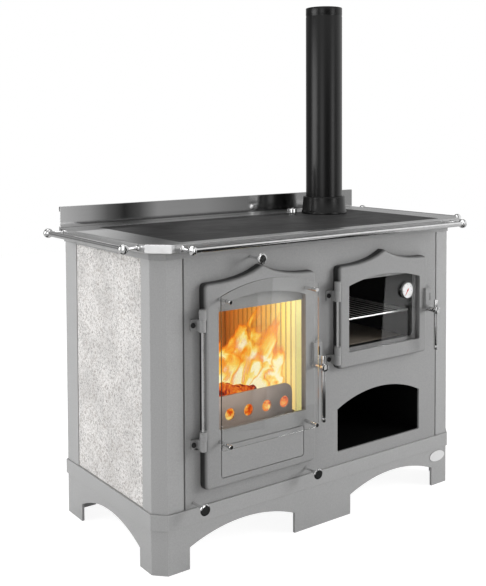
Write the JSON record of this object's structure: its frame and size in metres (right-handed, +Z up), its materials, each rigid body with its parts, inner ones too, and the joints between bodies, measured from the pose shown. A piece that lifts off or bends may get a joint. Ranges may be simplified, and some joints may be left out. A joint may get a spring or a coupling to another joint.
{
  "type": "wood cookstove",
  "caption": "Wood-burning cookstove with a glazed fire door, a glazed oven door, a wood store below the oven, a railed steel hob and a flue pipe.",
  "frame": {"origin": "on the floor, at the middle of the stove's box in x and y", "axes": "+Z up, the front with the doors faces -Y, +X to the right as seen from the front"},
  "size_m": [1.291, 0.6134, 1.553],
  "materials": {
    "paint": "satin grey paint",
    "dark_paint": "matt black paint",
    "flue_enamel": "satin black enamel",
    "stone": "speckled, honed",
    "stainless": "satin brushed",
    "hob_steel": "dark, ground smooth",
    "chrome": "polished",
    "cast_iron": "raw casting",
    "refractory": "matt moulded",
    "glass": "clear heat-proof pane",
    "dial": "white dial",
    "needle_red": "red",
    "enamel": "plain white enamel"
  },
  "bodies": {
    "stove": {"ash_drawer": "dark_paint", "badge_plate": "enamel", "base_band": "paint", "base_front": "paint", "base_surround": "paint", "fire_grate": "cast_iron", "fire_hinge_bracket_lower": "dark_paint", "fire_hinge_bracket_upper": "dark_paint", "fire_hinge_rod": "chrome", "fire_latch_keeper": "paint", "firebox_shell": "dark_paint", "flue_collar": "flue_enamel", "flue_pipe": "flue_enamel", "front_panel": "paint", "hearth_brick": "refractory", "hob_frame": "stainless", "hob_plate": "hob_steel", "lining_back": "refractory", "lining_left": "refractory", "lining_right": "refractory", "log_retainer": "cast_iron", "oven_box": "dark_paint", "oven_hinge_bracket_lower": "dark_paint", "oven_hinge_bracket_upper": "dark_paint", "oven_hinge_rod": "chrome", "oven_latch_keeper": "paint", "oven_shelf": "chrome", "post_front_left": "paint", "post_front_right": "paint", "post_rear_left": "paint", "post_rear_right": "paint", "rail_front": "chrome", "rail_left": "chrome", "rail_right": "chrome", "rear_panel": "dark_paint", "smoke_baffle": "refractory", "splashback": "stainless", "stone_panel_left": "stone", "stone_panel_right": "stone", "top_frame": "paint", "wood_store_liner": "dark_paint"},
    "fire_door": {"fire_door_frame": "paint", "fire_door_lower_panel": "paint", "fire_inner_glass": "glass", "fire_outer_glass": "glass", "glass_pin_top_left": "chrome", "glass_pin_top_right": "chrome", "glass_pin_bottom_left": "chrome", "glass_pin_bottom_right": "chrome"},
    "fire_handle": {"fire_handle": "chrome"},
    "oven_door": {"oven_door_frame": "paint", "oven_glass": "glass", "thermometer": "dial"},
    "oven_handle": {"oven_handle": "chrome"},
    "thermometer_needle": {"thermometer_needle": "needle_red"},
    "air_knob_top": {"air_knob_top": "chrome"},
    "air_knob_bottom_left": {"air_knob_bottom_left": "chrome"},
    "air_knob_bottom_right": {"air_knob_bottom_right": "chrome"},
    "flue_damper": {"flue_damper": "chrome"}
  },
  "joints": [
    {"name": "fire_door_hinge", "type": "hinge", "parent": "stove", "child": "fire_door", "pos_m": [-0.4415, -0.24025, 0.5], "axis": [0, 0, -1], "range_deg": [0, 110]},
    {"name": "fire_handle_turn", "type": "hinge", "parent": "fire_door", "child": "fire_handle", "pos_m": [-0.064, -0.28225, 0.485], "axis": [0, -1, 0], "range_deg": [0, 45]},
    {"name": "oven_door_hinge", "type": "hinge", "parent": "stove", "child": "oven_door", "pos_m": [0.0285, -0.24025, 0.6], "axis": [0, 0, -1], "range_deg": [0, 110]},
    {"name": "oven_handle_turn", "type": "hinge", "parent": "oven_door", "child": "oven_handle", "pos_m": [0.398, -0.28225, 0.588], "axis": [0, -1, 0], "range_deg": [0, 45]},
    {"name": "thermometer_needle_turn", "type": "hinge", "parent": "oven_door", "child": "thermometer_needle", "pos_m": [0.322, -0.23805, 0.651], "axis": [0, 1, 0], "range_deg": [0, 270], "stiffness_Nm_per_rad": 0.002},
    {"name": "air_knob_top_slide", "type": "slide", "parent": "stove", "child": "air_knob_top", "axis": [0, -1, 0], "range_m": [0, 0.03]},
    {"name": "air_knob_bottom_left_slide", "type": "slide", "parent": "stove", "child": "air_knob_bottom_left", "axis": [0, -1, 0], "range_m": [0, 0.03]},
    {"name": "air_knob_bottom_right_slide", "type": "slide", "parent": "stove", "child": "air_knob_bottom_right", "axis": [0, -1, 0], "range_m": [0, 0.03]},
    {"name": "flue_damper_turn", "type": "hinge", "parent": "stove", "child": "flue_damper", "pos_m": [0.21, 0.17625, 0.86], "axis": [0, 0, 1], "range_deg": [0, 90]}
  ]
}
